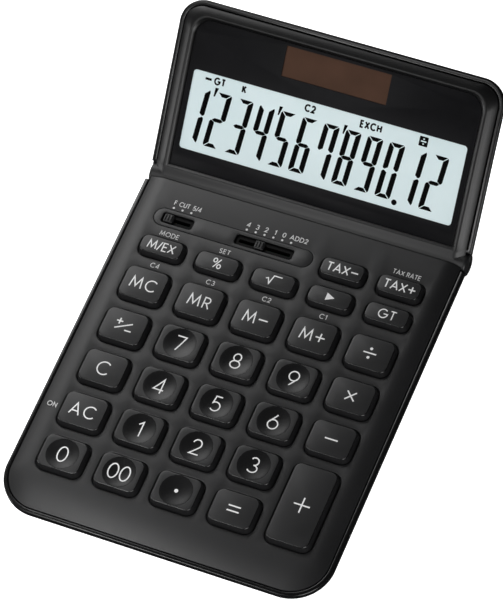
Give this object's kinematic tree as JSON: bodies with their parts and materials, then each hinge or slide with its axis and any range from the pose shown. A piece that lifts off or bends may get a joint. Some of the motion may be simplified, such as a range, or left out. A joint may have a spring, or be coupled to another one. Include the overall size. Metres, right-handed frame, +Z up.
{
  "type": "desk calculator",
  "caption": "Slim black desk calculator: full keypad and slide switches on a flat base, with a full-width display that tilts up on a barrel hinge.",
  "frame": {"origin": "middle of the bounding box's bottom face, on the table, with the display at the angle it has at rest", "axes": "+X to the user's right, +Y away from the user towards the display, +Z up"},
  "size_m": [0.109, 0.1676, 0.0452],
  "materials": {
    "matte_case": "fine matte texture",
    "gloss_case": "glossy black",
    "key_plastic": "satin black, white printed legends",
    "lens": "high gloss black, printed behind",
    "lcd_glass": "pale blue-green liquid crystal glass, black segments",
    "solar_glass": "dark brown amorphous cell",
    "circuit_board": "green solder mask",
    "chip_resin": "moulded black resin",
    "silicone": "translucent grey silicone",
    "cell_steel": "bright steel can",
    "contact_metal": "gold flashed spring metal",
    "steel": "plated steel",
    "rubber": "black rubber",
    "ribbon_film": "amber polyimide film"
  },
  "bodies": {
    "base": {"upper_housing": "matte_case", "lower_housing": "gloss_case", "switch_bezel": "matte_case", "main_board": "circuit_board", "controller_chip": "chip_resin", "key_membrane": "silicone", "battery_cell": "cell_steel", "battery_contacts": "contact_metal", "battery_door": "gloss_case", "battery_door_screw": "steel", "housing_screws": "steel", "rubber_feet": "rubber", "ribbon_base_end": "ribbon_film"},
    "display": {"display_frame": "matte_case", "display_back_cover": "gloss_case", "display_lens": "lens", "lcd_panel": "lcd_glass", "lcd_connector_strip": "rubber", "display_board": "circuit_board", "solar_cell": "solar_glass", "display_screws": "steel", "hinge_pins": "steel", "hinge_washers": "steel", "ribbon_display_end": "ribbon_film"},
    "key_mode_body": {"key_mode": "key_plastic"},
    "key_percent_body": {"key_percent": "key_plastic"},
    "key_square_root_body": {"key_square_root": "key_plastic"},
    "key_backspace_body": {"key_backspace": "key_plastic"},
    "key_grand_total_body": {"key_grand_total": "key_plastic"},
    "key_tax_minus_body": {"key_tax_minus": "key_plastic"},
    "key_tax_plus_body": {"key_tax_plus": "key_plastic"},
    "key_memory_clear_body": {"key_memory_clear": "key_plastic"},
    "key_memory_recall_body": {"key_memory_recall": "key_plastic"},
    "key_memory_minus_body": {"key_memory_minus": "key_plastic"},
    "key_memory_plus_body": {"key_memory_plus": "key_plastic"},
    "key_divide_body": {"key_divide": "key_plastic"},
    "key_sign_change_body": {"key_sign_change": "key_plastic"},
    "key_7_body": {"key_7": "key_plastic"},
    "key_8_body": {"key_8": "key_plastic"},
    "key_9_body": {"key_9": "key_plastic"},
    "key_multiply_body": {"key_multiply": "key_plastic"},
    "key_clear_body": {"key_clear": "key_plastic"},
    "key_4_body": {"key_4": "key_plastic"},
    "key_5_body": {"key_5": "key_plastic"},
    "key_6_body": {"key_6": "key_plastic"},
    "key_minus_body": {"key_minus": "key_plastic"},
    "key_all_clear_body": {"key_all_clear": "key_plastic"},
    "key_1_body": {"key_1": "key_plastic"},
    "key_2_body": {"key_2": "key_plastic"},
    "key_3_body": {"key_3": "key_plastic"},
    "key_plus_body": {"key_plus": "key_plastic"},
    "key_0_body": {"key_0": "key_plastic"},
    "key_00_body": {"key_00": "key_plastic"},
    "key_point_body": {"key_point": "key_plastic"},
    "key_equals_body": {"key_equals": "key_plastic"},
    "rounding_switch_slider": {"rounding_switch_knob": "key_plastic", "rounding_switch_wiper": "contact_metal"},
    "decimal_switch_slider": {"decimal_switch_knob": "key_plastic", "decimal_switch_wiper": "contact_metal"}
  },
  "joints": [
    {"name": "display_hinge", "type": "hinge", "parent": "base", "child": "display", "pos_m": [0, 0.04039, 0.0046], "axis": [1, 0, 0], "range_deg": [-42, 8]},
    {"name": "key_mode_press", "type": "slide", "parent": "base", "child": "key_mode_body", "axis": [0, 0, -1], "range_m": [0, 0.0012], "stiffness_N_per_m": 400, "springref_m": -0.0005},
    {"name": "key_percent_press", "type": "slide", "parent": "base", "child": "key_percent_body", "axis": [0, 0, -1], "range_m": [0, 0.0012], "stiffness_N_per_m": 400, "springref_m": -0.0005},
    {"name": "key_square_root_press", "type": "slide", "parent": "base", "child": "key_square_root_body", "axis": [0, 0, -1], "range_m": [0, 0.0012], "stiffness_N_per_m": 400, "springref_m": -0.0005},
    {"name": "key_backspace_press", "type": "slide", "parent": "base", "child": "key_backspace_body", "axis": [0, 0, -1], "range_m": [0, 0.0012], "stiffness_N_per_m": 400, "springref_m": -0.0005},
    {"name": "key_grand_total_press", "type": "slide", "parent": "base", "child": "key_grand_total_body", "axis": [0, 0, -1], "range_m": [0, 0.0012], "stiffness_N_per_m": 400, "springref_m": -0.0005},
    {"name": "key_tax_minus_press", "type": "slide", "parent": "base", "child": "key_tax_minus_body", "axis": [0, 0, -1], "range_m": [0, 0.0012], "stiffness_N_per_m": 400, "springref_m": -0.0005},
    {"name": "key_tax_plus_press", "type": "slide", "parent": "base", "child": "key_tax_plus_body", "axis": [0, 0, -1], "range_m": [0, 0.0012], "stiffness_N_per_m": 400, "springref_m": -0.0005},
    {"name": "key_memory_clear_press", "type": "slide", "parent": "base", "child": "key_memory_clear_body", "axis": [0, 0, -1], "range_m": [0, 0.0012], "stiffness_N_per_m": 400, "springref_m": -0.0005},
    {"name": "key_memory_recall_press", "type": "slide", "parent": "base", "child": "key_memory_recall_body", "axis": [0, 0, -1], "range_m": [0, 0.0012], "stiffness_N_per_m": 400, "springref_m": -0.0005},
    {"name": "key_memory_minus_press", "type": "slide", "parent": "base", "child": "key_memory_minus_body", "axis": [0, 0, -1], "range_m": [0, 0.0012], "stiffness_N_per_m": 400, "springref_m": -0.0005},
    {"name": "key_memory_plus_press", "type": "slide", "parent": "base", "child": "key_memory_plus_body", "axis": [0, 0, -1], "range_m": [0, 0.0012], "stiffness_N_per_m": 400, "springref_m": -0.0005},
    {"name": "key_divide_press", "type": "slide", "parent": "base", "child": "key_divide_body", "axis": [0, 0, -1], "range_m": [0, 0.0012], "stiffness_N_per_m": 400, "springref_m": -0.0005},
    {"name": "key_sign_change_press", "type": "slide", "parent": "base", "child": "key_sign_change_body", "axis": [0, 0, -1], "range_m": [0, 0.0012], "stiffness_N_per_m": 400, "springref_m": -0.0005},
    {"name": "key_7_press", "type": "slide", "parent": "base", "child": "key_7_body", "axis": [0, 0, -1], "range_m": [0, 0.0012], "stiffness_N_per_m": 400, "springref_m": -0.0005},
    {"name": "key_8_press", "type": "slide", "parent": "base", "child": "key_8_body", "axis": [0, 0, -1], "range_m": [0, 0.0012], "stiffness_N_per_m": 400, "springref_m": -0.0005},
    {"name": "key_9_press", "type": "slide", "parent": "base", "child": "key_9_body", "axis": [0, 0, -1], "range_m": [0, 0.0012], "stiffness_N_per_m": 400, "springref_m": -0.0005},
    {"name": "key_multiply_press", "type": "slide", "parent": "base", "child": "key_multiply_body", "axis": [0, 0, -1], "range_m": [0, 0.0012], "stiffness_N_per_m": 400, "springref_m": -0.0005},
    {"name": "key_clear_press", "type": "slide", "parent": "base", "child": "key_clear_body", "axis": [0, 0, -1], "range_m": [0, 0.0012], "stiffness_N_per_m": 400, "springref_m": -0.0005},
    {"name": "key_4_press", "type": "slide", "parent": "base", "child": "key_4_body", "axis": [0, 0, -1], "range_m": [0, 0.0012], "stiffness_N_per_m": 400, "springref_m": -0.0005},
    {"name": "key_5_press", "type": "slide", "parent": "base", "child": "key_5_body", "axis": [0, 0, -1], "range_m": [0, 0.0012], "stiffness_N_per_m": 400, "springref_m": -0.0005},
    {"name": "key_6_press", "type": "slide", "parent": "base", "child": "key_6_body", "axis": [0, 0, -1], "range_m": [0, 0.0012], "stiffness_N_per_m": 400, "springref_m": -0.0005},
    {"name": "key_minus_press", "type": "slide", "parent": "base", "child": "key_minus_body", "axis": [0, 0, -1], "range_m": [0, 0.0012], "stiffness_N_per_m": 400, "springref_m": -0.0005},
    {"name": "key_all_clear_press", "type": "slide", "parent": "base", "child": "key_all_clear_body", "axis": [0, 0, -1], "range_m": [0, 0.0012], "stiffness_N_per_m": 400, "springref_m": -0.0005},
    {"name": "key_1_press", "type": "slide", "parent": "base", "child": "key_1_body", "axis": [0, 0, -1], "range_m": [0, 0.0012], "stiffness_N_per_m": 400, "springref_m": -0.0005},
    {"name": "key_2_press", "type": "slide", "parent": "base", "child": "key_2_body", "axis": [0, 0, -1], "range_m": [0, 0.0012], "stiffness_N_per_m": 400, "springref_m": -0.0005},
    {"name": "key_3_press", "type": "slide", "parent": "base", "child": "key_3_body", "axis": [0, 0, -1], "range_m": [0, 0.0012], "stiffness_N_per_m": 400, "springref_m": -0.0005},
    {"name": "key_plus_press", "type": "slide", "parent": "base", "child": "key_plus_body", "axis": [0, 0, -1], "range_m": [0, 0.0012], "stiffness_N_per_m": 400, "springref_m": -0.0005},
    {"name": "key_0_press", "type": "slide", "parent": "base", "child": "key_0_body", "axis": [0, 0, -1], "range_m": [0, 0.0012], "stiffness_N_per_m": 400, "springref_m": -0.0005},
    {"name": "key_00_press", "type": "slide", "parent": "base", "child": "key_00_body", "axis": [0, 0, -1], "range_m": [0, 0.0012], "stiffness_N_per_m": 400, "springref_m": -0.0005},
    {"name": "key_point_press", "type": "slide", "parent": "base", "child": "key_point_body", "axis": [0, 0, -1], "range_m": [0, 0.0012], "stiffness_N_per_m": 400, "springref_m": -0.0005},
    {"name": "key_equals_press", "type": "slide", "parent": "base", "child": "key_equals_body", "axis": [0, 0, -1], "range_m": [0, 0.0012], "stiffness_N_per_m": 400, "springref_m": -0.0005},
    {"name": "rounding_switch_slide", "type": "slide", "parent": "base", "child": "rounding_switch_slider", "axis": [1, 0, 0], "range_m": [0, 0.00604]},
    {"name": "decimal_switch_slide", "type": "slide", "parent": "base", "child": "decimal_switch_slider", "axis": [1, 0, 0], "range_m": [-0.00604, 0.00906]}
  ]
}
